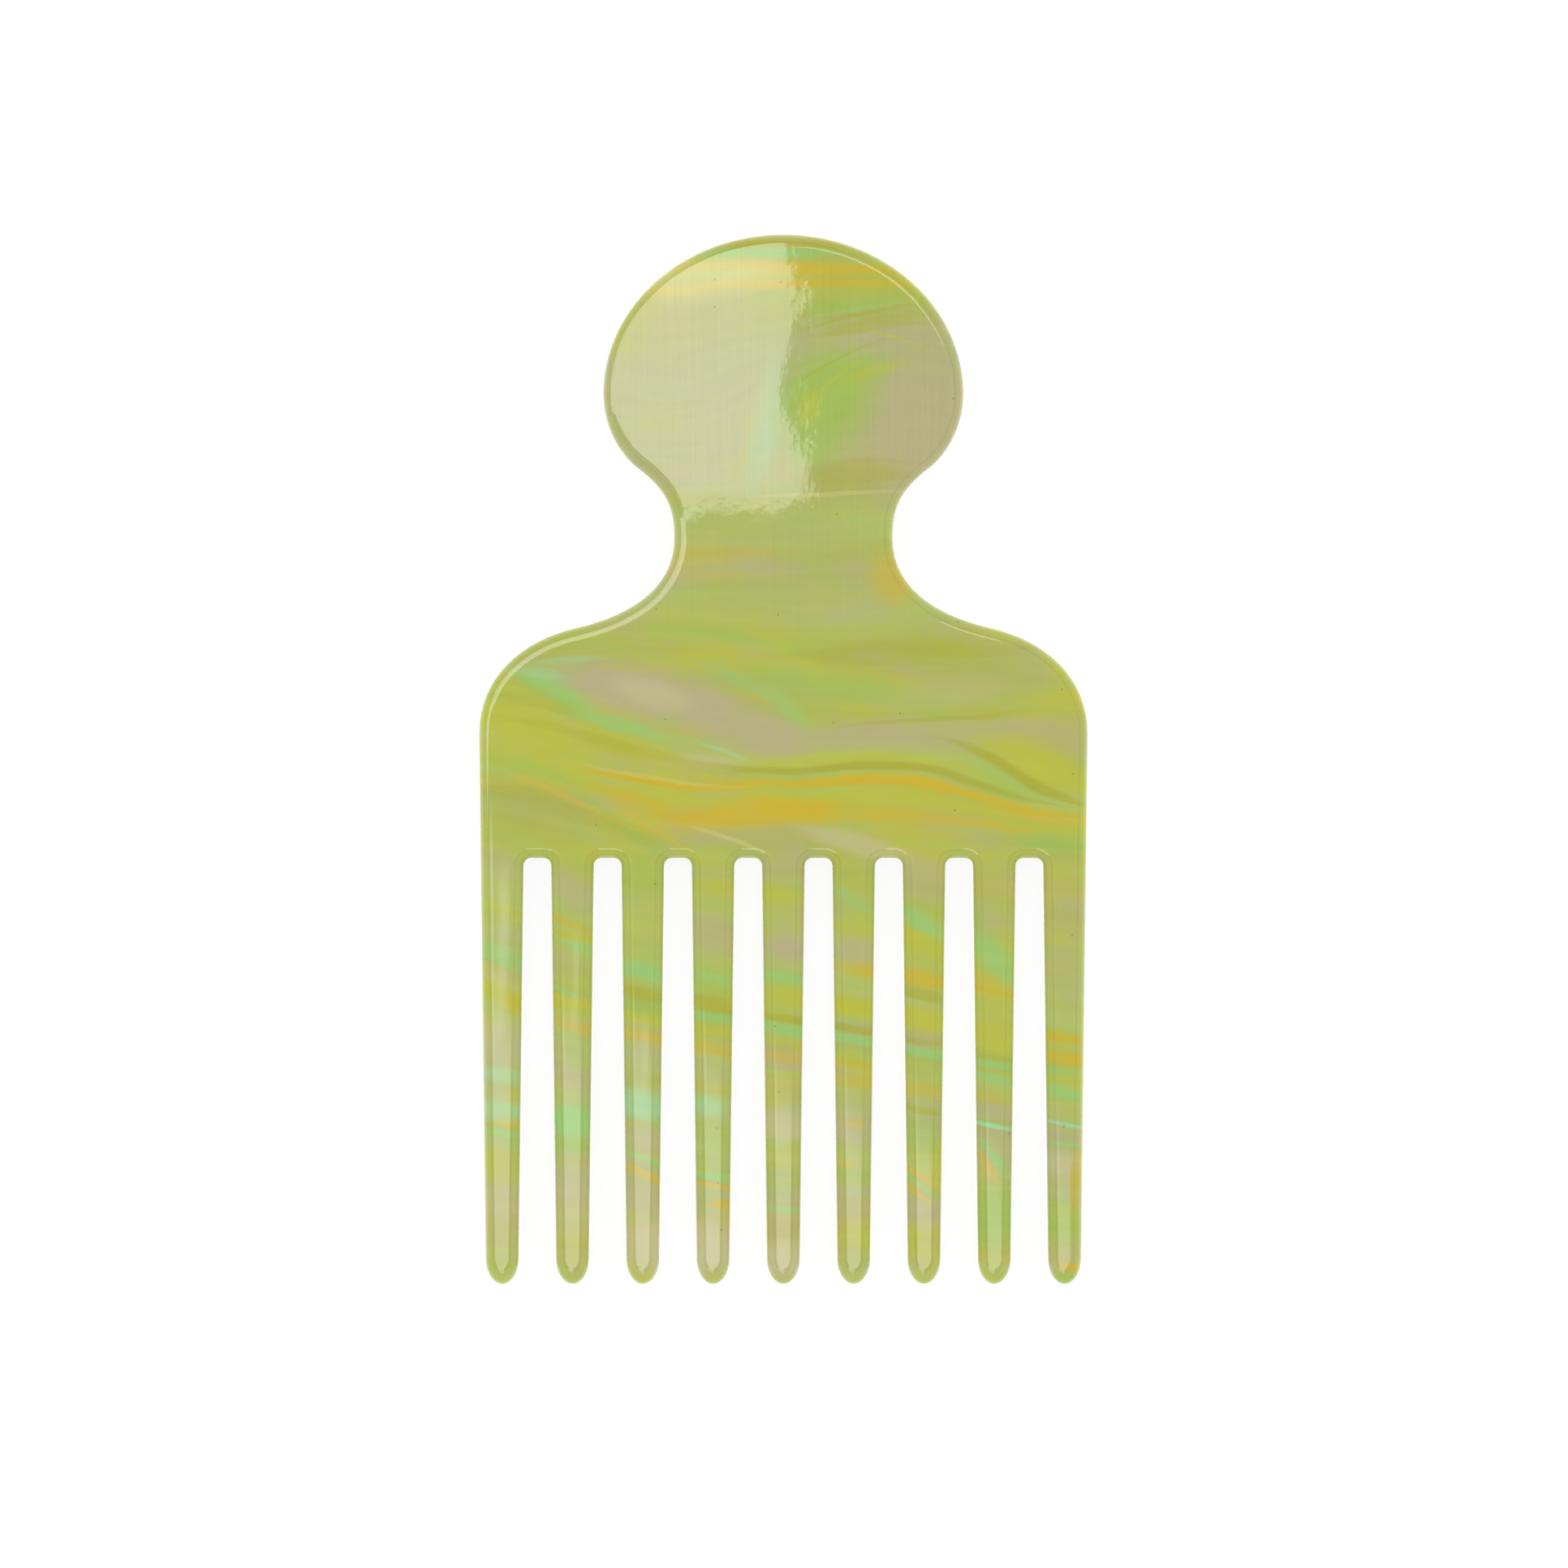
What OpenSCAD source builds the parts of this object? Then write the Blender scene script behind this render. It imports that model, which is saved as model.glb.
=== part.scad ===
// Wide-tooth hair pick, cut and rounded in one piece from a sheet of marbled acetate.
// It lies on its back face: X runs across the teeth, Y runs from the tips up to the
// round head, and Z is the thickness of the sheet. The origin is at the middle of the
// outline, on the back face.
//
// The real comb is a single piece. It is drawn here as the members that a comb maker
// names: the handle, the back and the teeth. Neighbours share the flat section at
// which they meet, so together they close up as the one piece.

/* [Sheet] */
// Thickness of the acetate sheet
sheet_t = 4; // [3:0.1:6]
// How far the rounding of the rim reaches in over each face
edge_reach = 1.15; // [0.4:0.05:1.3]
// How far the rounding of the rim reaches down the side wall
edge_depth = 1.2; // [0.5:0.05:1.4]
// Angle of the faint crease that polishing leaves where the rounding meets a face
crease_angle = 10; // [4:1:25]

/* [Teeth] */
// Number of teeth
tooth_count = 9; // [6:1:10]
// Length of a tooth, from the top of its slots to its tip
tooth_length = 48.7; // [30:0.1:70]
// Width of a tooth at the top of the slots
tooth_root_w = 4.95; // [4:0.05:5.4]
// Width of a tooth where its rounded tip begins
tooth_tip_w = 3.8; // [3:0.05:4.5]
// Length of the rounded tip
tip_length = 2.9; // [2:0.1:5]
// How much of the tip's length its dome takes up, along the middle of each face
tip_dome_share = 0.64; // [0.4:0.02:0.9]
// Radius in the two corners at the top of each slot
slot_corner_r = 0.9; // [0.3:0.05:1.4]

/* [Back] */
// Width across the shoulders, which is the widest place
shoulder_w = 69.6; // [62:0.1:90]
// Height from the top of the slots to the widest place
back_h = 14.3; // [8:0.1:30]
// Height of the shoulders' slope, from the widest place to the waist
shoulder_h = 22.3; // [16:0.1:35]

/* [Handle] */
// Width of the waist, where the finger and thumb hold
waist_w = 25; // [16:0.1:31]
// Height from the waist to the widest place of the head
cheek_h = 16.5; // [10:0.1:25]
// Width of the round head
head_w = 41.2; // [33:0.1:55]
// Height of the head above its widest place
crown_h = 18.2; // [10:0.1:28]

/* [Hidden] */

acetate_sage = [0.72, 0.76, 0.50];
acetate_gold = [0.77, 0.74, 0.36];
acetate_lime = [0.70, 0.77, 0.38];

// Heights along the comb, from the tips at the bottom to the crown at the top
comb_l = tooth_length + back_h + shoulder_h + cheek_h + crown_h;
tip_y = -comb_l / 2;
tip_start_y = tip_y + tip_length;
slot_top_y = tip_y + tooth_length;
shoulder_y = slot_top_y + back_h;
waist_y = shoulder_y + shoulder_h;
cheek_y = waist_y + cheek_h;

// Teeth taper evenly, and the outer edges of the back carry on the same taper
taper = (tooth_root_w - tooth_tip_w) / 2 / (tooth_length - tip_length);
end_tooth_x = shoulder_w / 2 - taper * back_h - tooth_root_w / 2;
tooth_pitch = 2 * end_tooth_x / (tooth_count - 1);
slot_top_w = tooth_pitch - tooth_root_w;
corner_limit_share = 0.45;
corner_r = min(slot_corner_r, slot_top_w * corner_limit_share);

// The back keeps a short root of each tooth, as high as the corners of the slots
root_y = slot_top_y - corner_r;

// Bends of the outline as shares of the width and height that each one spans. Every
// row holds the seven control points of a round curve and a hollow one, which meet
// at the middle point in one direction.
cheek_bend_shares = [
    [1, 1], [1, 0.768], [0.755, 0.572], [0.52, 0.485], [0.074, 0.32], [0, 0.192], [0, 0]
];
shoulder_bend_shares = [
    [0, 1], [0, 0.707], [0.29, 0.588], [0.507, 0.538], [0.78, 0.475], [1, 0.288], [1, 0]
];

crown_steps = 30;
bend_steps = 16;
tip_steps = 9;
corner_steps = 8;
edge_steps = 5;

// Rounding of the rim: an arc that leaves the side wall squarely and stops short of
// lying flat on the face, by the angle of the crease
edge_arc = [
    for (k = [0:edge_steps])
        let (a = k * (90 - crease_angle) / edge_steps)
            [
                edge_reach * (1 - cos(a)) / (1 - sin(crease_angle)),
                edge_depth * sin(a) / cos(crease_angle)
            ]
];

// Levels of the rim from the back face up to the front one: how far in, and how high
levels = concat(
    [for (k = [edge_steps:-1:0]) [edge_arc[k][0], edge_depth - edge_arc[k][1]]],
    [for (k = [0:edge_steps]) [edge_arc[k][0], sheet_t - edge_depth + edge_arc[k][1]]]
);

// One place on a cubic curve with four control points, and its direction there
function curve_place(c, t) =
    let (s = 1 - t)
    [
        s * s * s * c[0] + 3 * s * s * t * c[1] + 3 * s * t * t * c[2] + t * t * t * c[3],
        s * s * (c[1] - c[0]) + 2 * s * t * (c[2] - c[1]) + t * t * (c[3] - c[2])
    ];

// Both curves of a bend, which spans the given size from its low inner corner
function bend(shares, corner, size) =
    let (controls = [for (s = shares) corner + [s[0] * size[0], s[1] * size[1]]])
    [
        for (first = [0, 3])
            for (i = [1:bend_steps])
                curve_place([for (j = [0:3]) controls[first + j]], i / bend_steps)
    ];

// Moves the places of a right-hand side squarely inwards by the given reach
function inset(side, reach) =
    [for (s = side) s[0] + [s[1][1], -s[1][0]] / norm(s[1]) * reach];

// Right-hand side of the handle, from beside the top of the crown down to the waist.
// The crown is half an ellipse, whose topmost facet lies level at the full height.
crown_top_angle = 90 * (1 - 0.5 / crown_steps);
crown_rise = crown_h / sin(crown_top_angle);
handle_side = concat(
    [
        for (i = [0:crown_steps - 1])
            let (a = crown_top_angle - 90 * i / crown_steps)
                [
                    [head_w / 2 * cos(a), cheek_y + crown_rise * sin(a)],
                    [head_w / 2 * sin(a), -crown_rise * cos(a)]
                ]
    ],
    [[[head_w / 2, cheek_y], [0, -1]]],
    bend(cheek_bend_shares, [waist_w / 2, waist_y], [(head_w - waist_w) / 2, cheek_h])
);

// Right-hand side of the back, from the waist down to its widest place
back_side = concat(
    [[[waist_w / 2, waist_y], [0, -1]]],
    bend(
        shoulder_bend_shares, [waist_w / 2, shoulder_y],
        [(shoulder_w - waist_w) / 2, shoulder_h]
    )
);

function tooth_half_w(y) = tooth_root_w / 2 - taper * (slot_top_y - y);
function outer_half_w(y) = shoulder_w / 2 - taper * (shoulder_y - y);

// A tooth's side runs straight, then its taper carries on into half an ellipse
tip_end_angle = 90 * (1 - 0.5 / (tip_steps + 0.5));
function tooth_side(reach) =
    let (
        dome = tip_length * tip_dome_share * reach / edge_reach,
        tip_rise = (tip_length - dome) / sin(tip_end_angle)
    )
    concat(
        [[tooth_half_w(root_y) - reach, root_y]],
        [
            for (i = [0:tip_steps])
                let (a = tip_end_angle * i / tip_steps, y = tip_start_y - tip_rise * sin(a))
                    [(tooth_half_w(y) - reach) * cos(a), y]
        ]
    );

// The arch over a slot, from its right foot to its left one: two corners, with a
// level stretch between them
arch_count = 2 * (corner_steps + 1);
function slot_arch(reach) =
    let (corner_x = tooth_pitch / 2 - tooth_half_w(root_y) - corner_r)
    [
        for (side = [1, -1])
            for (i = [0:corner_steps])
                let (a = 90 * (side > 0 ? i : corner_steps - i) / corner_steps)
                    [side * corner_x, root_y] + (corner_r + reach) * [side * cos(a), sin(a)]
    ];

// Lower edge of the back from right to left: down the straight outer edge, along the
// roots and arches, and up the other outer edge
function back_foot(reach) =
    let (
        arch_top_y = slot_top_y + reach,
        outer_x = outer_half_w(arch_top_y) - reach,
        foot_x = outer_half_w(root_y) - reach
    )
    concat(
        [[outer_x, arch_top_y], [foot_x, root_y]],
        [
            for (i = [tooth_count - 1:-1:1])
                for (p = slot_arch(reach))
                    p + [-end_tooth_x + (i - 1 / 2) * tooth_pitch, 0]
        ],
        [[-foot_x, root_y], [-outer_x, arch_top_y]]
    );

// Closes a right-hand side with its mirror image. What lies between them runs from
// right to left.
function both_sides(side, between = []) = concat(
    side, between, [for (i = [len(side) - 1:-1:0]) [-side[i][0], side[i][1]]]
);

// Flat strips between opposite points of an outline, for its first side_count rows
function strips(count, side_count) =
    [for (i = [0:side_count - 2]) [i, i + 1, count - 2 - i, count - 1 - i]];

// Flat pieces of the back's face: strips down to the widest place, one broad piece
// from there to the tops of the arches, and then the root of each tooth
function back_face() =
    let (
        side_count = len(back_side),
        arches = tooth_count - 1,
        first_arch = side_count + 2,
        count = 2 * first_arch + arches * arch_count,
        last_arch = first_arch + (arches - 1) * arch_count,
        left_outer = count - 1 - side_count
    )
    concat(
        strips(count, side_count),
        [
            concat(
                [left_outer + 1, side_count - 1, side_count],
                [
                    for (i = [0:arches - 1])
                        for (j = [corner_steps, corner_steps + 1])
                            first_arch + i * arch_count + j
                ],
                [left_outer]
            ),
            [for (i = [side_count:first_arch + corner_steps]) i],
            concat([left_outer], [for (i = [last_arch + corner_steps + 1:left_outer - 1]) i])
        ],
        [
            for (i = [0:arches - 2])
                for (j = [0:corner_steps - 1])
                    let (
                        right = first_arch + i * arch_count + corner_steps + 1 + j,
                        left = first_arch + (i + 1) * arch_count + corner_steps - j
                    )
                        [right, right + 1, left - 1, left]
        ]
    );

// Joins one outline per level into a solid. The pieces of its face, which are numbers
// of points in an outline, close it at the bottom and at the top.
module rounded_sheet(outlines, face) {
    count = len(outlines[0]);
    top = len(outlines) - 1;
    points = [
        for (k = [0:top])
            for (p = outlines[k])
                [p[0], p[1], levels[k][1]]
    ];
    rim = [
        for (k = [0:top - 1])
            for (i = [0:count - 1])
                let (a = k * count + i, b = k * count + (i + 1) % count)
                    each [[a, a + count, b], [b, a + count, b + count]]
    ];
    front = [
        for (piece = face)
            [for (j = [len(piece):-1:1]) piece[j % len(piece)] + top * count]
    ];
    polyhedron(points, concat(rim, face, front));
}

module handle() {
    outlines = [for (l = levels) both_sides(inset(handle_side, l[0]))];
    color(acetate_sage)
        rounded_sheet(outlines, strips(len(outlines[0]), len(handle_side)));
}

module back() {
    color(acetate_gold)
        rounded_sheet(
            [for (l = levels) both_sides(inset(back_side, l[0]), back_foot(l[0]))],
            back_face()
        );
}

module tooth(i) {
    outlines = [for (l = levels) both_sides(tooth_side(l[0]))];
    count = len(outlines[0]);
    color(acetate_lime)
        translate([-end_tooth_x + (i - 1) * tooth_pitch, 0, 0])
            rounded_sheet(outlines, strips(count, count / 2));
}

handle();
back();
for (i = [1:tooth_count])
    tooth(i);
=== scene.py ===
# A wide-tooth hair pick of marbled acetate, lying face up on a white table. The real
# comb is one plate, so one piece stands here for every member of the frame. Numbers in
# the tables are millimetres, measured from the middle of the comb, and Y runs to the head.
import math

import bmesh
import bpy
from mathutils import Matrix, Vector


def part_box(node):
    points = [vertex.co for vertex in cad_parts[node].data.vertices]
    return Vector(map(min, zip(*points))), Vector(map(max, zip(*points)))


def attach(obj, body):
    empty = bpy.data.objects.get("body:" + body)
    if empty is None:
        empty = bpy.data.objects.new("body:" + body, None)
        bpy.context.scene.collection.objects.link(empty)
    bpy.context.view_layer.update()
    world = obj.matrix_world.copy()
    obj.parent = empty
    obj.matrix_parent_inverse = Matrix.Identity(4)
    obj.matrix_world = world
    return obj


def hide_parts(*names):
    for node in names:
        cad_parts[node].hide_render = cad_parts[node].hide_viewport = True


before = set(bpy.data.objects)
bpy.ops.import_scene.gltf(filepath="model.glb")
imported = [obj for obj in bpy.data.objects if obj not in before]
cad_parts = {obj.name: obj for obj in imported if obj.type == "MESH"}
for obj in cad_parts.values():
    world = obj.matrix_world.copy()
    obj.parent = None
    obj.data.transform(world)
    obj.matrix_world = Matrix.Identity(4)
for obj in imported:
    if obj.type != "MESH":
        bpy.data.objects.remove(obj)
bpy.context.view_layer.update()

mm = 0.001

# The camera looks straight down on the front face through a long lens, from a little
# below and beside the middle of the comb.
camera_height = 596.5 * mm
camera_x, camera_y = 0.07 * mm, -2.82 * mm
lens_length = 120
film_width = 36
back_low, back_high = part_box("back")
face_z = back_high.z

lens = bpy.data.cameras.new("camera")
lens.lens = lens_length
lens.sensor_width = film_width
camera = bpy.data.objects.new("camera", lens)
camera.location = (camera_x, camera_y, face_z + camera_height)
bpy.context.scene.collection.objects.link(camera)
bpy.context.scene.camera = camera

# The plate. The real comb is cut in one piece from acetate sheet, slots and all. Its rim
# is rounded over on both faces and buffed, which leaves a faint crease where the rounding
# meets the flat, and inside it a brow, lower in the slots. Each tooth ends in a long dome.
edge_reach = 1.15 * mm
edge_depth = 1.2 * mm
crease_angle = math.radians(10)
edge_steps = 10
brow_reach = 0.35 * mm
brow_angle = math.radians(6)
brow_steps = 4
brow_rise = brow_reach * math.tan(brow_angle) / 2
slot_zone_y = -9 * mm
slot_zone_x = 32 * mm
slot_brow_share = 0.3
tip_length = 2.9 * mm
tip_dome_share = 0.64
weld = 0.001 * mm
straight_angle = math.radians(0.05)

middle_z = (back_low.z + back_high.z) / 2
tip_y = min(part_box(member)[0].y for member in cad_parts)
tip_start_y = tip_y + tip_length


def flat_outline():
    """The comb's outline at half the sheet's thickness, as one face that looks up."""
    plate = bmesh.new()
    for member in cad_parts.values():
        plate.from_mesh(member.data)
    bmesh.ops.remove_doubles(plate, verts=plate.verts, dist=weld)
    bmesh.ops.bisect_plane(
        plate, geom=[*plate.verts, *plate.edges, *plate.faces],
        plane_co=(0, 0, middle_z), plane_no=(0, 0, 1), clear_inner=True, clear_outer=True,
    )
    bmesh.ops.remove_doubles(plate, verts=plate.verts, dist=weld)
    bmesh.ops.edgenet_fill(plate, edges=plate.edges)
    bmesh.ops.dissolve_limit(
        plate, angle_limit=straight_angle, verts=plate.verts, edges=plate.edges
    )
    if plate.faces[:][0].normal.z < 0:
        bmesh.ops.reverse_faces(plate, faces=plate.faces)
    return plate


def rounding(step):
    """How far in over the face and how high up the rounding has come after a step."""
    angle = (math.pi / 2 - crease_angle) * step / edge_steps
    reach = edge_reach * (1 - math.cos(angle)) / (1 - math.sin(crease_angle))
    return Vector((reach, edge_depth * math.sin(angle) / math.cos(crease_angle)))


def brow(step):
    """How far in over the face and how high up the brow has come after a step."""
    share = step / brow_steps
    return Vector((brow_reach * share, brow_rise * (1 - (1 - share) ** 2)))


def raise_domes(plate, face, reach):
    """Draws a face's tooth tips in, so that the dome of a tip is longer than its rim."""
    tips = [corner for corner in face.verts if corner.co.y < tip_start_y - weld]
    rise = tip_start_y - min(corner.co.y for corner in tips)
    dome = tip_length * tip_dome_share * reach / edge_reach
    bmesh.ops.scale(
        plate, vec=(1, (tip_length - dome) / rise, 1), verts=tips,
        space=Matrix.Translation((0, -tip_start_y, 0)),
    )


def rounded_plate():
    """The whole comb: its upper half is built up from the outline, then mirrored."""
    plate = flat_outline()
    outline = plate.faces[:][0]
    wall = bmesh.ops.extrude_face_region(plate, geom=[outline])["geom"]
    face = next(part for part in wall if isinstance(part, bmesh.types.BMFace))
    wall_height = face_z - brow_rise - edge_depth - middle_z
    bmesh.ops.translate(plate, vec=(0, 0, wall_height), verts=face.verts)
    bmesh.ops.delete(plate, geom=[outline], context="FACES_ONLY")
    for profile, steps in ((rounding, edge_steps), (brow, brow_steps)):
        for step in range(steps):
            reach, rise = profile(step + 1) - profile(step)
            bmesh.ops.inset_region(
                plate, faces=[face], thickness=reach, depth=rise,
                use_boundary=True, use_even_offset=True,
            )
            inset = profile(step + 1)[0] + (edge_reach if profile is brow else 0)
            raise_domes(plate, face, inset)
    # The ring of the rounding just outside the crease, where shade is painted into the colour
    crease_shade_ring = plate.verts.layers.float.new("crease_shade_ring")
    crease_shade_z = face_z - brow_rise - edge_depth + rounding(edge_steps - 1)[1]
    for corner in plate.verts:
        corner[crease_shade_ring] = float(abs(corner.co.z - crease_shade_z) < weld)
    slot_brows = [
        corner for corner in plate.verts
        if corner.co.z > face_z - brow_rise - weld
        and corner.co.y < slot_zone_y and abs(corner.co.x) < slot_zone_x
    ]
    bmesh.ops.scale(
        plate, vec=(1, 1, slot_brow_share), verts=slot_brows,
        space=Matrix.Translation((0, 0, -face_z)),
    )
    crease_heights = (face_z - brow_rise, face_z - brow_rise * slot_brow_share, face_z)
    for edge in plate.edges:
        ends = [corner.co.z for corner in edge.verts]
        edge.smooth = not any(max(ends) - weld < z < min(ends) + weld for z in crease_heights)
    bmesh.ops.mirror(
        plate, geom=[*plate.verts, *plate.edges, *plate.faces], axis="Z",
        matrix=Matrix.Translation((0, 0, -middle_z)), merge_dist=weld,
    )
    bmesh.ops.remove_doubles(plate, verts=plate.verts, dist=weld)
    bmesh.ops.recalc_face_normals(plate, faces=plate.faces)
    for face in plate.faces:
        face.smooth = True
    return plate


def put_in_scene(name, shape):
    """Makes an object of a finished shape, which is freed, and puts it into the scene."""
    mesh = bpy.data.meshes.new(name)
    shape.to_mesh(mesh)
    shape.free()
    made = bpy.data.objects.new(name, mesh)
    bpy.context.scene.collection.objects.link(made)
    return made


comb = put_in_scene("comb", rounded_plate())
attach(comb, "root")
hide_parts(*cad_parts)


def tint(red, green, blue):
    """A colour from its parts of 255 on a screen, made linear, as shaders take it."""
    parts = [part / 255 for part in (red, green, blue)]
    linear = [
        part / 12.92 if part <= 0.04045 else ((part + 0.055) / 1.055) ** 2.4
        for part in parts
    ]
    return (*linear, 1)


def add(tree, kind, inputs=(), **settings):
    """Puts a node into a tree. Its inputs are set to numbers or linked to outputs."""
    made = tree.nodes.new("ShaderNode" + kind)
    for name, value in settings.items():
        setattr(made, name, value)
    for socket, value in dict(inputs).items():
        if isinstance(value, bpy.types.NodeSocket):
            tree.links.new(value, made.inputs[socket])
        else:
            made.inputs[socket].default_value = value
    return made


def calc(tree, operation, *values):
    """The result of a math node on numbers and outputs."""
    return add(tree, "Math", enumerate(values), operation=operation).outputs[0]


def ramp(tree, value, start, end, low=0.0, high=1.0, smooth=False):
    """Carries a value from the span start to end over to low to high, and no further."""
    return add(
        tree, "MapRange", {0: value, 1: start, 2: end, 3: low, 4: high},
        interpolation_type="SMOOTHSTEP" if smooth else "LINEAR",
    ).outputs[0]


def mix(tree, share, under, over, blend="MIX"):
    """The share of one colour over another."""
    return add(
        tree, "Mix", {0: share, 6: under, 7: over}, data_type="RGBA", blend_type=blend
    ).outputs[2]


def noise(tree, place, scale, detail, roughness=0.5, **settings):
    """A noise texture's outputs. A scale of three parts stretches it."""
    if not isinstance(scale, (int, float)):
        place = add(tree, "Mapping", {"Vector": place, "Scale": scale}).outputs[0]
        scale = 1
    return add(
        tree, "TexNoise",
        {"Vector": place, "Scale": scale, "Detail": detail, "Roughness": roughness}, **settings,
    ).outputs


def new_material(name):
    """A material with no nodes yet, and its node tree."""
    material = bpy.data.materials.new(name)
    material.use_nodes = True
    material.node_tree.nodes.clear()
    return material, material.node_tree


def new_group(name, inputs, outputs):
    """An empty node group with named sockets, and its input and output nodes."""
    group = bpy.data.node_groups.new(name, "ShaderNodeTree")
    for in_out, sockets in (("INPUT", inputs), ("OUTPUT", outputs)):
        for socket, kind in sockets.items():
            group.interface.new_socket(socket, in_out=in_out, socket_type="NodeSocket" + kind)
    return group, group.nodes.new("NodeGroupInput"), group.nodes.new("NodeGroupOutput")


# The marbling. Sheets of this acetate are pressed from blocks of tinted paste, folded and
# drawn out, so their colours lie in long soft bands with feathered ends. The bands run
# across the comb, and they drift on their way through the thickness.
palette = {
    "lime": tint(176, 185, 86),
    "leaf": tint(178, 190, 106),
    "yellow_lime": tint(187, 190, 73),
    "green": tint(164, 188, 92),
    "mint": tint(156, 198, 116),
    "pale_mint": tint(158, 210, 156),
    "gold": tint(203, 180, 56),
    "orange": tint(206, 179, 76),
    "olive": tint(172, 170, 58),
    "olive_gold": tint(178, 174, 66),
    "sage": tint(174, 180, 102),
    "beige": tint(182, 178, 106),
    "stone": tint(178, 179, 124),
    "taupe": tint(183, 176, 134),
    "pale_taupe": tint(196, 190, 146),
    "pale": tint(212, 206, 128),
}

# Colours of the ground along the comb, from the tips up to the crown
ground_bands = [
    (-60, "leaf"), (-54, "beige"), (-50, "stone"), (-44, "leaf"), (-40, "stone"),
    (-34, "leaf"), (-30, "lime"), (-24, "leaf"), (-19, "leaf"), (-13, "lime"),
    (-9, "sage"), (-5, "yellow_lime"), (-1, "leaf"), (4, "lime"), (9, "sage"),
    (13, "lime"), (17, "leaf"), (22, "sage"), (27, "leaf"), (30, "sage"),
    (33, "stone"), (47, "stone"), (50, "sage"), (53, "lime"), (57, "lime"), (58.6, "olive_gold"),
    (60, "beige"),
]

# Folds that lift the bands over a stretch: middle, reach each way, and lift
folds = [
    (-34, 5, 22, 8, 5.0),
    (-36, -7, 16, 5, 2.5),
    (12.5, -0.5, 10, 4, 1.3),
    (40, -3, 15, 6, -4.5),
    (44, -30, 36, 16, -7.0),
    (-44, -28, 26, 22, 6.0),
    (13, 43, 13, 7, 4.5),
    (-13, 42, 10, 9, -4.0),
]

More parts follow.
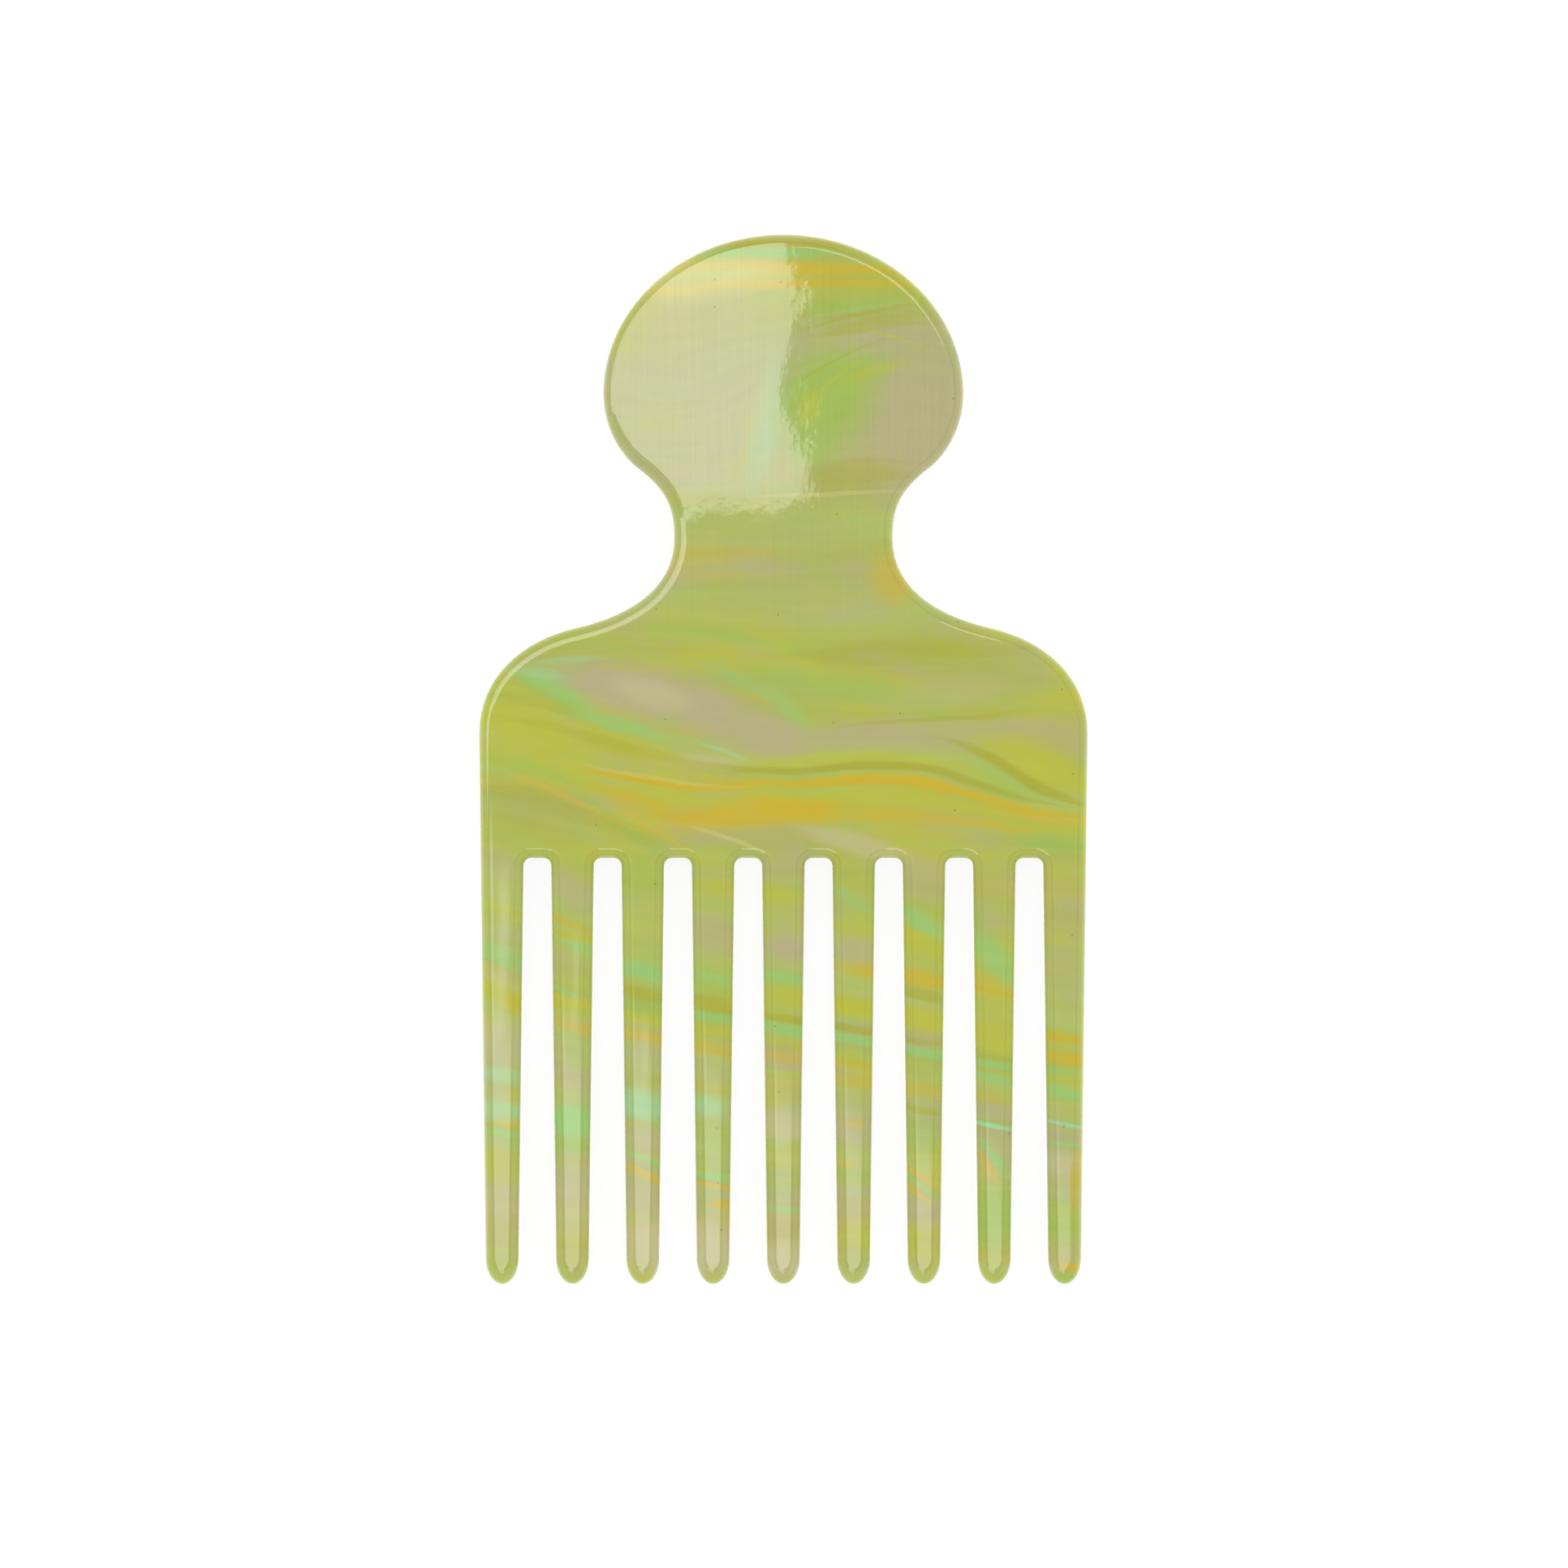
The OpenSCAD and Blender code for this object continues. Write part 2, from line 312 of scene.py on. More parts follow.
# The colours that lie over the ground, from the lowest up. A band has its middle as seen,
# its length and width, its turn in degrees and its strength.
marbling = [
    ("taupe", [
        (15.5, 38.0, 15, 13, 30, 0.85),
        (12.0, 48.0, 11, 6, 10, 0.5),
        (-17.5, 8.0, 18, 7, -3, 1.0),
        (-9.5, 6.0, 14, 6, -16, 1.0),
        (-2.0, 3.0, 12, 4.5, -12, 0.95),
        (9.0, 2.5, 26, 3.2, 0, 0.75),
        (26.0, 3.2, 22, 2.6, 3, 0.6),
        (-10.0, 49.0, 14, 9, 0, 0.45),
        (-3.5, 26.5, 15, 5, 0, 0.3),
        (0.0, 17.5, 18, 5, 0, 0.25),
        (-5.0, 32.5, 16, 3.4, 0, 0.3),
        (-32.4, -12.2, 6, 3.0, -8, 0.4),
        (-24.0, -15.0, 7, 3.8, -24, 0.6),
        (-8.0, -19.8, 7, 4.2, 0, 0.6),
        (1.0, -21.5, 6, 2.6, -4, 0.95),
        (8.0, -21.8, 7, 3.0, -4, 0.7),
        (16.0, -13.6, 8, 4.0, -4, 0.6),
        (32.4, -24.8, 7, 4.8, -6, 0.4),
        (0.5, -34.4, 14, 2.4, -6, 0.8),
        (-24.0, -36.4, 6, 2.8, -4, 0.35),
        (24.0, -40.2, 14, 2.2, -8, 0.6),
        (-16.0, -43.0, 6, 2.6, 0, 0.6),
        (8.0, -42.6, 7, 4.2, 0, 0.6),
        (15.8, -52.0, 6, 3.4, -8, 0.7),
    ]),
    ("pale_taupe", [
        (-15.0, 7.6, 9, 3.6, -8, 0.6),
        (-24.0, -51.0, 34, 6, 0, 0.3),
        (-12.0, -55.6, 14, 7, 0, 0.85),
        (0.0, -57.0, 6, 4, 0, 0.7),
        (-32.0, -25.2, 6, 2.0, -14, 0.35),
        (-32.0, -32.5, 7, 5, 0, 0.35),
        (0.0, -41.6, 12, 3.4, 0, 0.6),
        (8.0, -9.6, 12, 2.4, -12, 0.6),
        (18.0, 7.4, 16, 3, 6, 0.3),
        (-9.0, -0.4, 12, 1.4, 6, 0.5),
        (32.0, -46.0, 6, 3, 0, 0.6),
    ]),
    ("green", [
        (5.0, 42.4, 12, 10, 20, 1.0),
        (3.6, 36.6, 6, 6, 20, 0.8),
        (8.0, 52.2, 12, 1.6, 6, 0.7),
        (-4.0, 18.6, 12, 7, 10, 0.2),
        (-29.0, -1.0, 10, 1.8, -4, 0.5),
        (-4.0, 26.8, 15, 3.4, 4, 0.25),
        (-10.0, 14.4, 14, 1.4, -6, 0.6),
        (6.0, 8.5, 20, 3.4, -8, 0.6),
        (-26.0, 7.4, 10, 2.6, -34, 0.8),
        (-18.0, -8.0, 12, 1.6, -26, 0.7),
        (32.0, -9.6, 10, 2.8, -2, 0.9),
        (-16.0, -13.0, 8, 4.0, -10, 0.6),
        (-16.0, -29.0, 6, 1.4, -6, 0.8),
        (-8.0, -25.4, 6, 3.0, -4, 0.7),
        (8.0, -47.6, 7, 2.0, -10, 0.6),
        (-24.0, -44.2, 6, 1.8, 0, 0.8),
        (16.0, -43.0, 6, 4.4, -30, 0.6),
        (24.0, -52.0, 8, 9, 0, 0.9),
        (32.0, -53.0, 8, 5, 0, 0.7),
        (32.0, -59.4, 5, 1.6, 0, 0.8),
    ]),
    ("yellow_lime", [
        (10.4, 44.4, 8, 1.8, 12, 0.45),
        (12.0, 48.4, 9, 0.6, -24, 0.5),
        (5.5, 43.4, 9, 0.5, 24, 0.5),
        (3.0, 40.4, 2.6, 3, 20, 0.6),
        (-29.5, 4.0, 14, 5.6, -10, 0.95),
        (-19.0, 1.9, 16, 2.2, -4, 0.7),
        (9.0, 0.3, 32, 1.3, 0, 0.8),
        (29.0, -0.6, 14, 3.0, -4, 0.9),
        (-13.0, -4.4, 16, 1.8, 0, 0.8),
        (13.0, -4.2, 28, 1.6, 0, 0.9),
        (24.0, -28.4, 7, 3.6, -4, 0.6),
        (24.0, -32.4, 7, 2.6, -4, 0.9),
        (-32.0, -17.2, 6, 1.8, -8, 0.5),
        (-24.0, -20.3, 6, 1.2, -8, 0.9),
        (-24.0, -28.0, 6, 1.6, -8, 0.6),
        (-4.0, -15.2, 14, 2.2, -2, 0.7),
        (12.0, -28.9, 34, 2.8, 0, 1.0),
        (-14.0, -30.0, 22, 1.4, 0, 0.7),
        (-32.0, -46.6, 7, 3.2, -6, 0.6),
        (-12.0, -46.7, 14, 0.9, -9, 0.6),
        (17.8, -46.0, 7, 1.2, 84, 0.8),
    ]),
    ("olive", [
        (9.5, 49.6, 12, 2.4, 10, 0.4),
        (8.0, 50.8, 13, 0.7, 12, 0.5),
        (7.0, 46.2, 10, 0.5, 22, 0.4),
        (8.5, 32.4, 12, 2.8, 2, 0.5),
        (14.0, 12.2, 24, 3.0, 2, 0.45),
        (17.0, 4.6, 24, 0.6, 7, 0.45),
        (-28.5, 6.6, 13, 1.4, -8, 0.35),
        (-19.0, 1.5, 24, 1.2, -3, 0.4),
        (11.0, -0.5, 40, 0.9, 0, 0.8),
        (27.5, -2.0, 20, 1.1, -10, 0.75),
        (-23.0, -6.2, 22, 2.4, -8, 0.35),
        (-16.0, -27.2, 6, 2.0, -4, 0.7),
        (-8.0, -28.2, 6, 1.8, -4, 0.7),
        (6.0, -30.6, 24, 1.2, 0, 0.7),
        (16.0, -26.8, 6, 1.4, -6, 0.6),
        (24.0, -34.4, 12, 1.8, -4, 0.5),
        (16.0, -40.0, 6, 1.2, -8, 0.6),
    ]),
    ("gold", [
        (0.5, 56.0, 30, 1.8, -2, 0.85),
        (-0.5, 54.1, 36, 1.1, -0.5, 0.8),
        (12.5, 20.6, 6, 5, -45, 0.6),
        (-8.0, 23.4, 14, 2.2, 2, 0.25),
        (-14.0, -2.7, 18, 0.8, 1, 0.95),
        (-5.0, -2.9, 12, 0.9, 6, 0.9),
        (14.0, -2.2, 40, 1.1, 0.5, 1.0),
        (0.0, -5.8, 14, 2.8, 0, 1.0),
        (-6.5, -6.8, 18, 3.0, 6, 0.9),
        (-16.0, -5.0, 10, 1.6, -6, 0.7),
        (16.0, -6.6, 26, 1.6, 1, 0.6),
        (28.0, -5.9, 12, 0.8, 3, 0.9),
        (-24.0, -18.8, 7, 1.0, -18, 0.5),
        (16.0, -25.2, 22, 1.5, 0, 0.8),
        (-30.8, -28.3, 3.6, 1.8, -8, 0.45),
        (32.0, -32.0, 7, 1.2, 2, 0.7),
        (32.0, -34.2, 7, 1.7, -8, 0.75),
        (-6.0, -33.2, 36, 1.5, 0, 0.55),
        (16.0, -37.7, 22, 1.8, 0, 0.5),
        (-31.4, -41.5, 3, 1.2, 0, 0.9),
        (-6.6, -50.8, 4, 1.3, -5, 0.7),
        (33.4, -48.0, 9, 1.4, 86, 0.6),
        (32.8, -57.9, 2.4, 1.4, 0, 0.8),
    ]),
    ("orange", [
        (-12.0, 3.3, 10, 1.4, 12, 0.2),
        (-25.0, -4.2, 18, 0.6, -14, 0.6),
        (-16.0, -7.2, 12, 0.6, -26, 0.45),
        (30.5, -6.9, 8, 0.7, -2, 0.8),
        (-24.0, -30.4, 6, 1.2, -4, 0.5),
        (-16.0, -31.6, 7, 1.1, -6, 0.3),
        (23.6, -25.6, 6, 1.0, -10, 0.4),
        (-15.6, -47.4, 6, 0.7, -12, 0.9),
        (-15.0, -48.2, 4, 0.4, -14, 0.8),
        (-7.6, -48.8, 5, 0.5, -6, 0.8),
        (8.2, -41.6, 2.4, 1.4, 0, 0.6),
        (7.0, -46.2, 3, 1.0, 0, 0.5),
        (15.6, -47.4, 5, 0.6, -40, 0.9),
        (15.4, -49.4, 5, 0.7, -40, 0.8),
        (23.4, -46.6, 5, 0.6, -62, 0.8),
        (-3.6, 37.4, 10, 1.8, 76, 0.25),
    ]),
    ("mint", [
        (-2.0, 58.0, 16, 1.5, 0, 0.8),
        (-33.0, -1.2, 6, 1.0, -10, 0.4),
        (-9.0, 55.2, 12, 0.7, -1, 0.7),
        (8.5, 51.6, 11, 0.6, 8, 0.45),
        (-26.5, 8.4, 11, 2.6, -28, 0.65),
        (-18.5, 4.0, 11, 1.7, -4, 0.75),
        (-4.0, 8.4, 10, 1.8, -24, 0.4),
        (0.4, 6.0, 7, 2.2, -42, 0.5),
        (-32.0, -22.4, 8, 2.6, -20, 0.7),
        (-23.0, -21.7, 5, 1.5, -4, 0.7),
        (-25.0, -26.4, 4, 0.8, -16, 0.7),
        (-16.0, -24.2, 6, 2.6, -4, 1.0),
        (-8.0, -25.0, 6, 1.2, -4, 0.7),
        (0.0, -25.0, 6, 1.2, -4, 0.8),
        (15.8, -18.5, 6, 1.8, -18, 0.9),
        (24.0, -22.4, 7, 3.0, -30, 0.8),
        (8.0, -16.0, 6, 1.4, -24, 0.5),
        (10.0, -32.5, 50, 1.5, -1, 0.9),
        (24.0, -36.4, 6, 1.4, -8, 0.8),
        (32.0, -38.0, 6, 2.0, -12, 0.9),
        (-24.0, -41.4, 7, 3.6, 0, 1.0),
        (-32.0, -42.9, 6, 0.9, 0, 0.7),
        (-8.0, -47.8, 6, 0.8, -6, 0.8),
        (-15.8, -45.8, 6, 0.7, -12, 0.8),
        (24.2, -45.6, 6, 1.0, -58, 0.9),
        (15.6, -48.4, 5, 0.6, -40, 0.7),
        (32.0, -44.0, 6, 0.6, -4, 0.9),
        (0.0, -51.4, 6, 1.0, -6, 0.6),
    ]),
    ("pale_mint", [
        (-2.2, 37.8, 13, 4.0, 80, 0.3),
        (-27.6, 9.8, 6, 1.8, -4, 0.4),
        (-24.5, 11.2, 9, 1.4, 12, 0.35),
        (-7.0, 1.0, 6, 0.6, -14, 0.45),
        (-16.0, -39.5, 7, 3.2, 0, 0.62),
        (-32.0, -40.2, 7, 2.2, 0, 0.5),
        (-8.6, -39.4, 5, 2.2, 0, 0.5),
        (-32.0, -36.0, 7, 1.6, 0, 0.45),
        (24.0, -42.0, 6, 0.7, -12, 1.0),
        (32.0, -41.8, 6, 0.8, -10, 0.8),
    ]),
    ("pale", [
        (-9.0, 55.0, 18, 4.4, 0, 0.55),
        (-14.0, -2.3, 18, 0.45, 1, 0.3),
        (-6.0, -9.4, 10, 0.5, -13, 0.4),
        (6.0, 30.4, 16, 0.5, 0, 0.35),
    ]),
]

# Soft clouds and thin wisps of colour between the bands, with their strengths. They are
# calmer in the head.
cloud_veils = (("green", 0.8), ("taupe", 0.75), ("yellow_lime", 0.9))
wisp_veils = (("mint", 0.2), ("gold", 0.2), ("olive", 0.16))
veil_start, veil_full = 0.5, 0.7
calm_start_y, calm_full_y = 29, 35
calm_share = 0.4


def lifted(x, y):
    """How far the folds carry the bands up at a place."""
    return sum(
        lift * math.exp(-(((x - middle_x) / reach_x) ** 2) - ((y - middle_y) / reach_y) ** 2)
        for middle_x, middle_y, reach_x, reach_y, lift in folds
    )


def fold_group():
    """Moves a place from where a band is seen to where it lay before the folding."""
    group, given, result = new_group("folds", {"Place": "Vector"}, {"Flow": "Vector"})
    lift = 0.0
    for middle_x, middle_y, reach_x, reach_y, height in folds:
        near = add(
            group, "Mapping",
            {
                "Vector": given.outputs["Place"], "Location": (middle_x, middle_y, 0),
                "Scale": (reach_x, reach_y, 1),
            },
            vector_type="TEXTURE",
        ).outputs[0]
        apart = add(group, "VectorMath", {0: near, 1: near}, operation="DOT_PRODUCT")
        fade = calc(group, "POWER", 1 / math.e, apart.outputs["Value"])
        lift = calc(group, "MULTIPLY_ADD", fade, -height, lift)
    down = add(group, "CombineXYZ", {1: lift}).outputs[0]
    flow = add(group, "VectorMath", {0: given.outputs["Place"], 1: down}, operation="ADD")
    group.links.new(flow.outputs[0], result.inputs["Flow"])
    return group


# How far the bands drift from the front to the back, and the size of the drift's swirls
drift = 12.0
swirl_scale = 0.045
sheet_mm = (back_high.z - back_low.z) / mm

# The waves that bend the bands: stretch of the noise along and across, and their strength
bends = (((0.05, 0.16, 1), 1.6), ((0.12, 0.5, 1), 0.7))

# The noises that run with the bands: stretch along and across, and detail
cloud_noise = ((0.06, 0.14, 1), 3)
wisp_noise = ((0.06, 0.5, 1), 2)
grain_noise = ((0.08, 1.0, 1), 3)


def flow_group():
    """Bends a place along the marbling's flow, and gives the fine grain that runs with it."""
    group, given, result = new_group(
        "marble flow", {"Place": "Vector"},
        {"Flow": "Vector", "Grain": "Float", "Clouds": "Color", "Wisps": "Color"},
    )
    parts = add(group, "SeparateXYZ", {0: given.outputs["Place"]})
    flat = add(group, "CombineXYZ", {0: parts.outputs[0], 1: parts.outputs[1]}).outputs[0]
    depth = calc(group, "SUBTRACT", 1, calc(group, "DIVIDE", parts.outputs[2], sheet_mm))
    deep = calc(group, "MULTIPLY", depth, depth)
    swirl = noise(group, flat, swirl_scale, 1, noise_dimensions="2D")["Color"]
    swirl_way = add(
        group, "VectorMath", {0: swirl, 1: (1, 1, 0), 2: (-0.5, -0.5, 0)},
        operation="MULTIPLY_ADD",
    ).outputs[0]
    sink = add(
        group, "VectorMath", {0: swirl_way, "Scale": calc(group, "MULTIPLY", deep, drift)},
        operation="SCALE",
    ).outputs[0]
    sunk = add(group, "VectorMath", {0: flat, 1: sink}, operation="ADD").outputs[0]
    folded = add(group, "Group", node_tree=fold_group())
    group.links.new(sunk, folded.inputs["Place"])
    flow = folded.outputs["Flow"]
    for stretch, strength in bends:
        wave = noise(group, flow, stretch, 2)[0]
        lift = calc(group, "MULTIPLY", calc(group, "SUBTRACT", wave, 0.5), strength)
        lift_way = add(group, "CombineXYZ", {1: lift}).outputs[0]
        flow = add(group, "VectorMath", {0: flow, 1: lift_way}, operation="ADD").outputs[0]
    group.links.new(flow, result.inputs["Flow"])
    for name, output, (stretch, detail) in (
        ("Clouds", "Color", cloud_noise), ("Wisps", "Color", wisp_noise),
        ("Grain", "Fac", grain_noise),
    ):
        group.links.new(noise(group, flow, stretch, detail)[output], result.inputs[name])
    return group


# How ragged the grain makes a band, and from where to where it fades in. Its size along the
# part of a place that carries the cover is too large to matter.
band_ragged = 0.9
band_edge, band_full = 1.9, 0.9
cover_apart = 1e6


def band_group():
    """Adds one feathered band to a colour's cover, which rides as the place's third part."""
    group, given, result = new_group(
        "band",
        {
            "Flow": "Vector", "Grain": "Float", "Middle": "Vector", "Turn": "Vector",
            "Size": "Vector", "Strength": "Float",
        },
        {"Flow": "Vector"},
    )
    local = add(
        group, "Mapping",
        {
            "Vector": given.outputs["Flow"], "Location": given.outputs["Middle"],
            "Rotation": given.outputs["Turn"], "Scale": given.outputs["Size"],
        },
        vector_type="TEXTURE",
    ).outputs[0]
    apart = add(group, "VectorMath", {0: local}, operation="LENGTH").outputs["Value"]
    rough = calc(group, "MULTIPLY_ADD", given.outputs["Grain"], band_ragged, apart)
    strength = given.outputs["Strength"]
    fade = ramp(group, rough, band_edge, band_full, 0.0, strength, smooth=True)
    flow = add(group, "SeparateXYZ", {0: given.outputs["Flow"]}).outputs
    cover = calc(group, "MAXIMUM", flow[2], fade)
    covered = add(group, "CombineXYZ", {0: flow[0], 1: flow[1], 2: cover}).outputs[0]
    group.links.new(covered, result.inputs["Flow"])
    return group


# The buffed relief: slow waves, which are weak on the teeth, and a fine peel and hairs,
# which are worn away below the waist
wave_place = (294, 212, 0)
wave_scale, wave_detail, wave_roughness = 0.11, 2, 0.42
wave_weak_y, wave_strong_y, wave_weak_share = -10, 8, 0.15
wave_height = 0.036 * mm
peel_scale, peel_detail = 0.9, 4
peel_height = 0.0034 * mm
hair_stretch, hair_detail = (3.0, 0.07, 1), 2
hair_height = 0.0004 * mm
hair_shine = 0.12
worn_y, fresh_y, worn_share = 8, 30, 0.05

# Specks of dust in the pores: cells to the millimetre, radius in cells, and share left bare
speck_cells = 0.15
speck_edge, speck_full = 0.024, 0.012
speck_bare = 0.72


def polish_group():
    """The relief that buffing leaves, as a height in metres, its shine, and dust in pores."""
    group, given, result = new_group(
        "buffed relief", {"Place": "Vector"},
        {"Height": "Float", "Shine": "Float", "Speck": "Float"},
    )
    place = given.outputs["Place"]
    moved = add(group, "Mapping", {"Vector": place, "Location": wave_place}).outputs[0]
    waves = noise(group, moved, wave_scale, wave_detail, wave_roughness)[0]
    along = add(group, "SeparateXYZ", {0: place}).outputs[1]
    worn = ramp(group, along, worn_y, fresh_y, worn_share)
    peel = noise(group, place, peel_scale, peel_detail)[0]
    hairs = noise(group, place, hair_stretch, hair_detail)[0]
    swell = ramp(group, along, wave_weak_y, wave_strong_y, wave_weak_share)
    height = calc(group, "MULTIPLY", calc(group, "MULTIPLY", waves, swell), wave_height)
    for relief, rise in ((peel, peel_height), (hairs, hair_height)):
        height = calc(group, "MULTIPLY_ADD", calc(group, "MULTIPLY", relief, worn), rise, height)
    cells = add(
        group, "TexVoronoi", {"Vector": place, "Scale": speck_cells, "Randomness": 1},
        voronoi_dimensions="2D",
    )
    dot = ramp(group, cells.outputs["Distance"], speck_edge, speck_full)
    chosen = add(group, "SeparateColor", {0: cells.outputs["Color"]}).outputs[0]
    speck = calc(group, "MULTIPLY", dot, calc(group, "GREATER_THAN", chosen, speck_bare))
    uneven = calc(group, "MULTIPLY", calc(group, "SUBTRACT", hairs, 0.5), worn)
    shine = calc(group, "MULTIPLY_ADD", uneven, hair_shine, 1.0)
    group.links.new(height, result.inputs["Height"])
    group.links.new(shine, result.inputs["Shine"])
    group.links.new(speck, result.inputs["Speck"])
    return group


# The finish of the sheet: silk of the grain, dust in the specks, painted shade along the ring by
# the crease, gloss, and how deep and how strongly light glows through it
silk_strength = 0.1
# One dark tint, for the dust in the specks and for the painted shade by the crease
dust_and_crease_shade = tint(120, 118, 60)
speck_strength = 0.5
crease_shade_strength = 0.16
gloss_roughness = 0.03
acetate_ior = 1.48
glow_share = 0.45
glow_radius = (1, 1, 0.6)
glow_depth = 1.2 * mm


def marbled_acetate():
    """The comb's material: marbled colour, gloss, a little depth and a buffed relief."""
    material, tree = new_material("marbled acetate")
    metres = add(tree, "TexCoord").outputs["Object"]
    place = add(tree, "Mapping", {"Vector": metres, "Scale": (1 / mm, 1 / mm, 1 / mm)}).outputs[0]
    flow = add(tree, "Group", node_tree=flow_group())
    tree.links.new(place, flow.inputs["Place"])

    low_y, high_y = ground_bands[0][0], ground_bands[-1][0]
    height = add(tree, "SeparateXYZ", {0: flow.outputs["Flow"]}).outputs[1]
    ground = add(tree, "ValToRGB", {0: ramp(tree, height, low_y, high_y)})
    stops = ground.color_ramp.elements
    while len(stops) < len(ground_bands):
        stops.new(1)
    for stop, (y, name) in zip(stops, ground_bands):
        stop.position = (y - low_y) / (high_y - low_y)
        stop.color = palette[name]
    colour = ground.outputs[0]

    calm = ramp(tree, height, calm_start_y, calm_full_y, 1.0, calm_share)
    for output, veils in (("Clouds", cloud_veils), ("Wisps", wisp_veils)):
        channels = add(tree, "SeparateColor", {0: flow.outputs[output]}).outputs
        for channel, (name, strength) in zip(channels, veils):
            veil = ramp(tree, channel, veil_start, veil_full, 0.0, strength)
            colour = mix(tree, calc(tree, "MULTIPLY", veil, calm), colour, palette[name])

    band_tree = band_group()
    for name, bands in marbling:
        covered = flow.outputs["Flow"]
        for x, y, length, width, turn, strength in bands:
            band = add(tree, "Group", node_tree=band_tree)
            tree.links.new(covered, band.inputs["Flow"])
            tree.links.new(flow.outputs["Grain"], band.inputs["Grain"])
            band.inputs["Middle"].default_value = (x, y - lifted(x, y), 0)
            band.inputs["Turn"].default_value = (0, 0, math.radians(turn))
            band.inputs["Size"].default_value = (length / 2, width / 2, cover_apart)
            band.inputs["Strength"].default_value = strength
            covered = band.outputs["Flow"]
        cover = add(tree, "SeparateXYZ", {0: covered}).outputs[2]
        colour = mix(tree, cover, colour, palette[name])

    grain = add(tree, "ValToRGB", {0: flow.outputs["Grain"]}).outputs[0]
    silk = mix(tree, silk_strength, colour, grain, "SOFT_LIGHT")
    relief = add(tree, "Group", node_tree=polish_group())
    tree.links.new(place, relief.inputs["Place"])
    colour = add(
        tree, "VectorMath", {0: silk, "Scale": relief.outputs["Shine"]}, operation="SCALE"
    ).outputs[0]
    # Painted shade darkens the ring by the crease, and dust darkens the specks
    crease_shade_ring = add(tree, "Attribute", attribute_name="crease_shade_ring").outputs["Fac"]
    for where, strength in ((relief.outputs["Speck"], speck_strength), (crease_shade_ring, crease_shade_strength)):
        colour = mix(tree, calc(tree, "MULTIPLY", where, strength), colour, dust_and_crease_shade)
    bump = add(tree, "Bump", {"Height": relief.outputs["Height"], "Strength": 1, "Distance": 1})
    shader = add(
        tree, "BsdfPrincipled",
        {
            "Base Color": colour, "Roughness": gloss_roughness, "IOR": acetate_ior,
            "Normal": bump.outputs[0], "Subsurface Weight": glow_share,
            "Subsurface Radius": glow_radius, "Subsurface Scale": glow_depth,
        },
    )
    surface = add(tree, "OutputMaterial", {"Surface": shader.outputs[0]})
    surface.is_active_output = True
    return material


comb.data.materials.append(marbled_acetate())


# The table is a plain white sheet. It shows white to the camera and in reflections. Seen
# from below it is clear, and it lights the underside of the comb that lies on it.
table_size = 6.0
table_drop = 0.02 * mm
table_touch = 0.1 * mm
touch_glow = 1.0
# The grey of the paper and its glow, as other rays see it, the camera and the gloss
table_looks = ((236, 0.1), (110, 0.88), (110, 1.4))


def white_table():
    """The table's paper: matt, lifted to white where it is seen, clear from below."""
    material, tree = new_material("table paper")
    path = add(tree, "LightPath").outputs
    seen = calc(tree, "MAXIMUM", path["Is Camera Ray"], path["Is Transmission Ray"])
    looks = []
    for grey, lift in table_looks:
        paper = add(tree, "BsdfDiffuse", {"Color": tint(grey, grey, grey)}).outputs[0]
        glow = add(tree, "Emission", {"Strength": lift}).outputs[0]
        looks.append(add(tree, "AddShader", {0: paper, 1: glow}).outputs[0])
    lit = add(tree, "MixShader", {0: seen, 1: looks[0], 2: looks[1]}).outputs[0]
    lit = add(tree, "MixShader", {0: path["Is Glossy Ray"], 1: lit, 2: looks[2]}).outputs[0]
    touched = calc(tree, "LESS_THAN", path["Ray Length"], table_touch)
    white = add(tree, "Emission", {"Strength": touch_glow}).outputs[0]
    lit = add(tree, "MixShader", {0: touched, 1: lit, 2: white}).outputs[0]
    below = add(tree, "NewGeometry").outputs["Backfacing"]
    clear = add(tree, "BsdfTransparent").outputs[0]
    shown = add(tree, "MixShader", {0: below, 1: lit, 2: clear}).outputs[0]
    add(tree, "OutputMaterial", {"Surface": shown})
    return material


table_top = bmesh.new()
bmesh.ops.create_grid(table_top, x_segments=1, y_segments=1, size=table_size / 2)
bmesh.ops.translate(table_top, vec=(0, 0, back_low.z - table_drop), verts=table_top.verts)
table = put_in_scene("table", table_top)
table.data.materials.append(white_table())

# The lights are softboxes level with the camera, which show in the gloss alone. One washes
# the left of the head, one the lower teeth, and the small ones draw the fine lines on the
# left teeth and on the right of the crown. A white room lights the comb evenly.
softboxes = [
    # name, middle from the camera and how far below it, width, depth, turn and slant in
    # degrees, how far its far side takes to reach full light, brightness
    ("head softbox", -279, 224.3, 0, 564, 400, 0, 8, 0, 4.6),
    ("teeth softbox", -72.4, -234.1, 0, 300, 380, -16, 0, 30, 3.4),
    ("side softbox", -135, -24, 0, 90, 48, 0, 0, 20, 3.0),
    ("first slit", -64.2, -36, 1, 2.2, 44, -2.5, 0, 12, 3.6),
    ("second slit", -47.5, -42, 1, 1.0, 30, -1, 0, 16, 4.4),
    ("third slit", -31.9, -60, 1, 1.0, 24, -1, 0, 12, 4.4),
    ("strip softbox", 50, 158, 0, 76, 70, -20, 0, 0, 4.6),
]


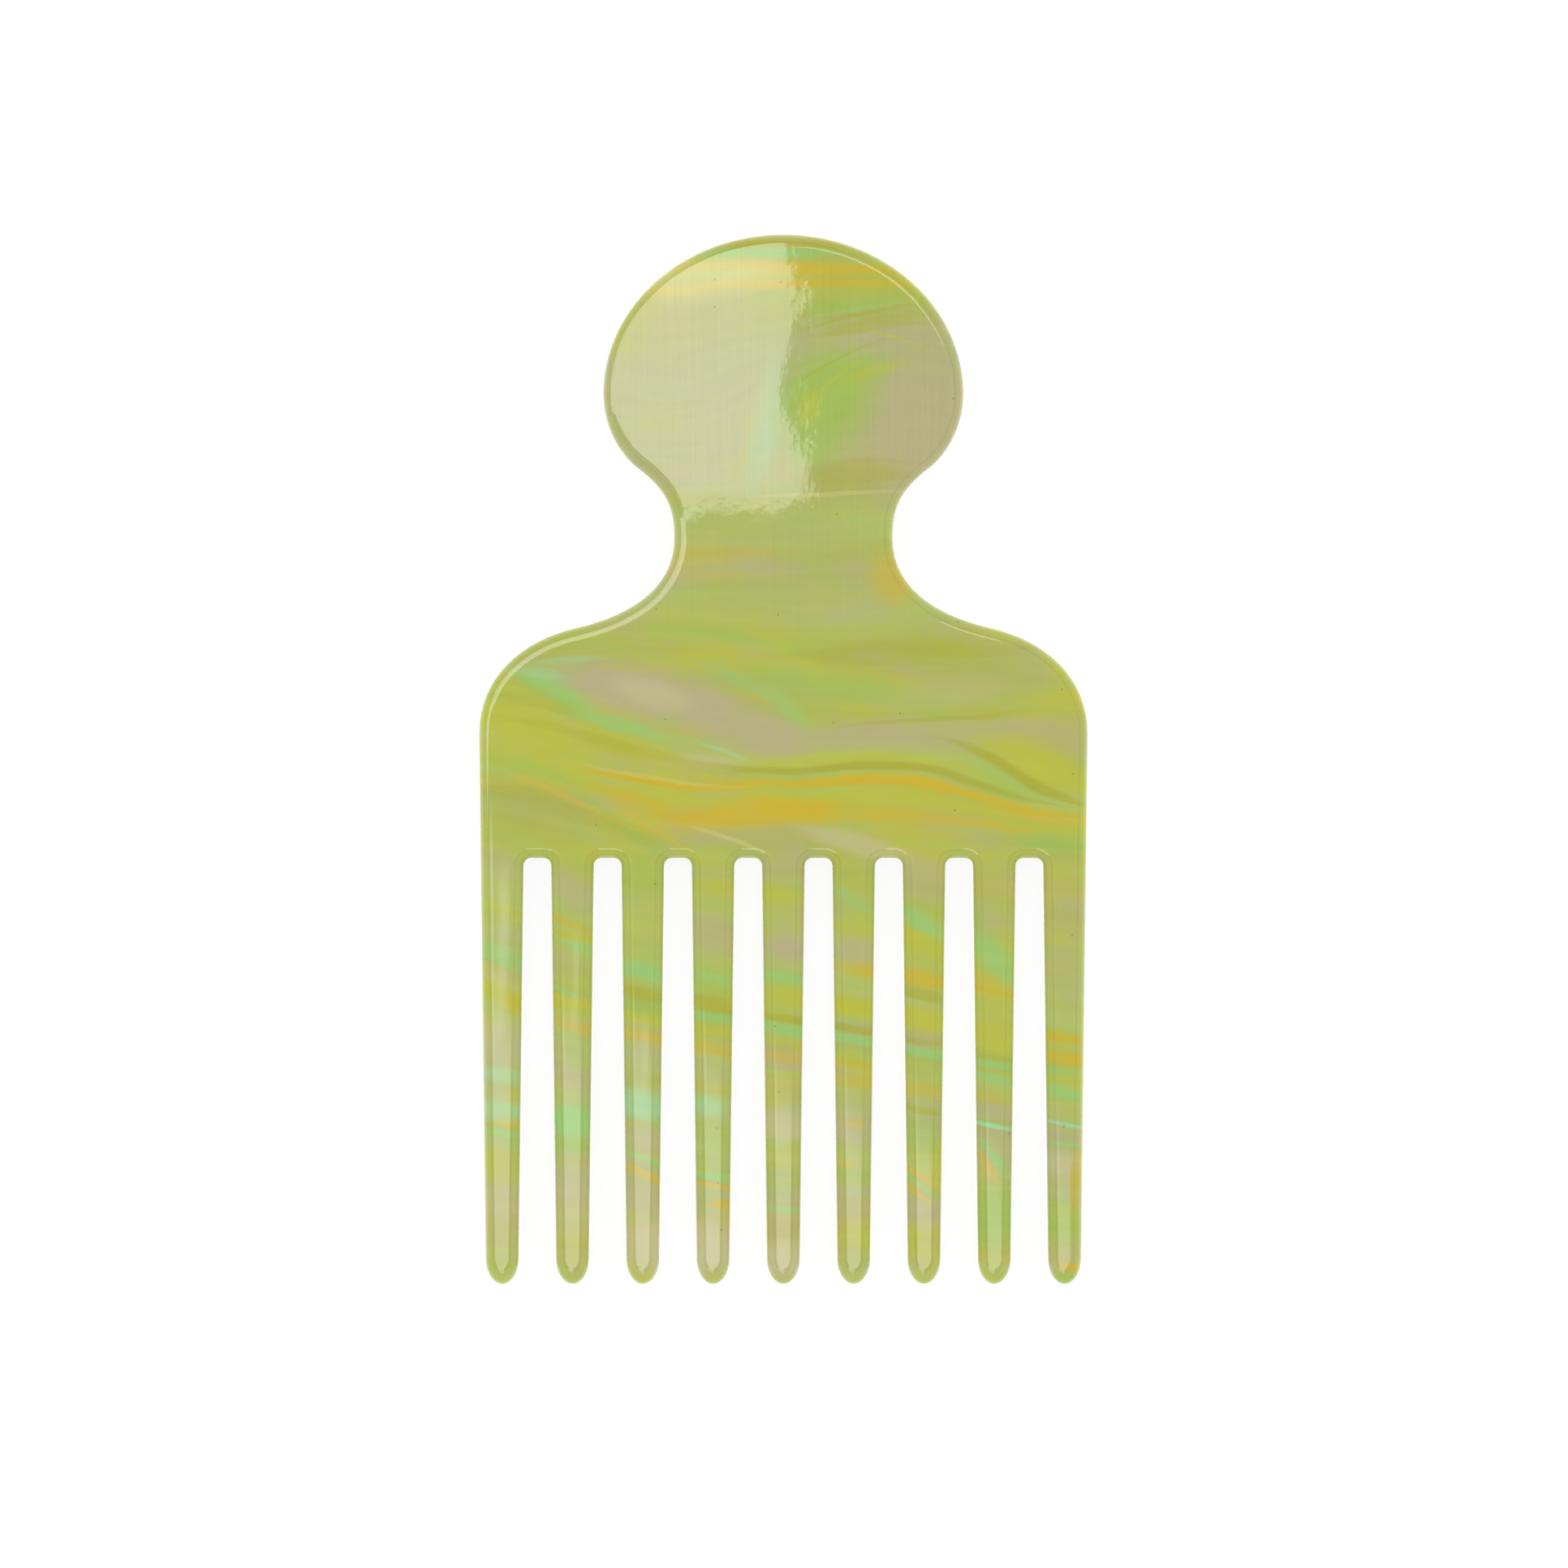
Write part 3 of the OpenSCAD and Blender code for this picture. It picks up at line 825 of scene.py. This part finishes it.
def glowing_cloth(name, depth, fade, brightness):
    """A softbox's cloth, which gives light on the side that looks down."""
    material, tree = new_material(name)
    front = add(tree, "Emission", {"Strength": brightness}).outputs[0]
    if fade:
        place = add(tree, "SeparateXYZ", {0: add(tree, "TexCoord").outputs["Object"]}).outputs
        glow = ramp(tree, place[1], depth / 2, depth / 2 - fade, 0.0, brightness, smooth=True)
        tree.links.new(glow, front.node.inputs["Strength"])
    back = add(tree, "Emission", {"Strength": 0.0}).outputs[0]
    turned = add(tree, "NewGeometry").outputs["Backfacing"]
    shown = add(tree, "MixShader", {0: turned, 1: front, 2: back}).outputs[0]
    add(tree, "OutputMaterial", {"Surface": shown})
    return material


for name, x, y, drop, width, depth, turn, slant, fade, brightness in softboxes:
    cloth = bmesh.new()
    bmesh.ops.create_grid(cloth, x_segments=1, y_segments=1, size=mm / 2)
    bmesh.ops.scale(cloth, vec=(width, depth, 1), verts=cloth.verts)
    slope = math.tan(math.radians(slant))
    bmesh.ops.transform(cloth, matrix=Matrix.Shear("YZ", 4, (slope, 0)), verts=cloth.verts)
    bmesh.ops.reverse_faces(cloth, faces=cloth.faces)
    softbox = put_in_scene(name, cloth)
    softbox.data.materials.append(glowing_cloth(name, depth * mm, fade * mm, brightness))
    softbox.location = camera.location + Vector((x, y, -drop)) * mm
    softbox.rotation_euler = (0, 0, math.radians(turn))
    softbox.visible_camera = False
    softbox.visible_diffuse = False
    softbox.visible_shadow = False

# How bright the room is, and how bright its walls look in the gloss, by how far up a ray
# looks
room_light = 1.08
wall_low, wall_high = 0.15, 0.6
wall_low_light, wall_high_light = 0.5, 0.2

room = bpy.data.worlds.new("room")
room.use_nodes = True
room.node_tree.nodes.clear()
room_path = add(room.node_tree, "LightPath").outputs
room_way = add(room.node_tree, "TexCoord").outputs["Generated"]
room_height = add(room.node_tree, "SeparateXYZ", {0: room_way}).outputs[2]
room_glow = ramp(
    room.node_tree, room_height, wall_low, wall_high, wall_low_light, wall_high_light,
    smooth=True,
)
room_walls = add(room.node_tree, "Background", {"Strength": room_glow}).outputs[0]
room_white = add(room.node_tree, "Background", {"Strength": room_light}).outputs[0]
for light in (room_walls, room_white):
    light.node.inputs["Color"].default_value = (1, 1, 1, 1)
room_shown = add(
    room.node_tree, "MixShader", {0: room_path["Is Glossy Ray"], 1: room_white, 2: room_walls}
).outputs[0]
add(room.node_tree, "OutputWorld", {"Surface": room_shown})
bpy.context.scene.world = room
bpy.context.scene.view_settings.view_transform = "Standard"
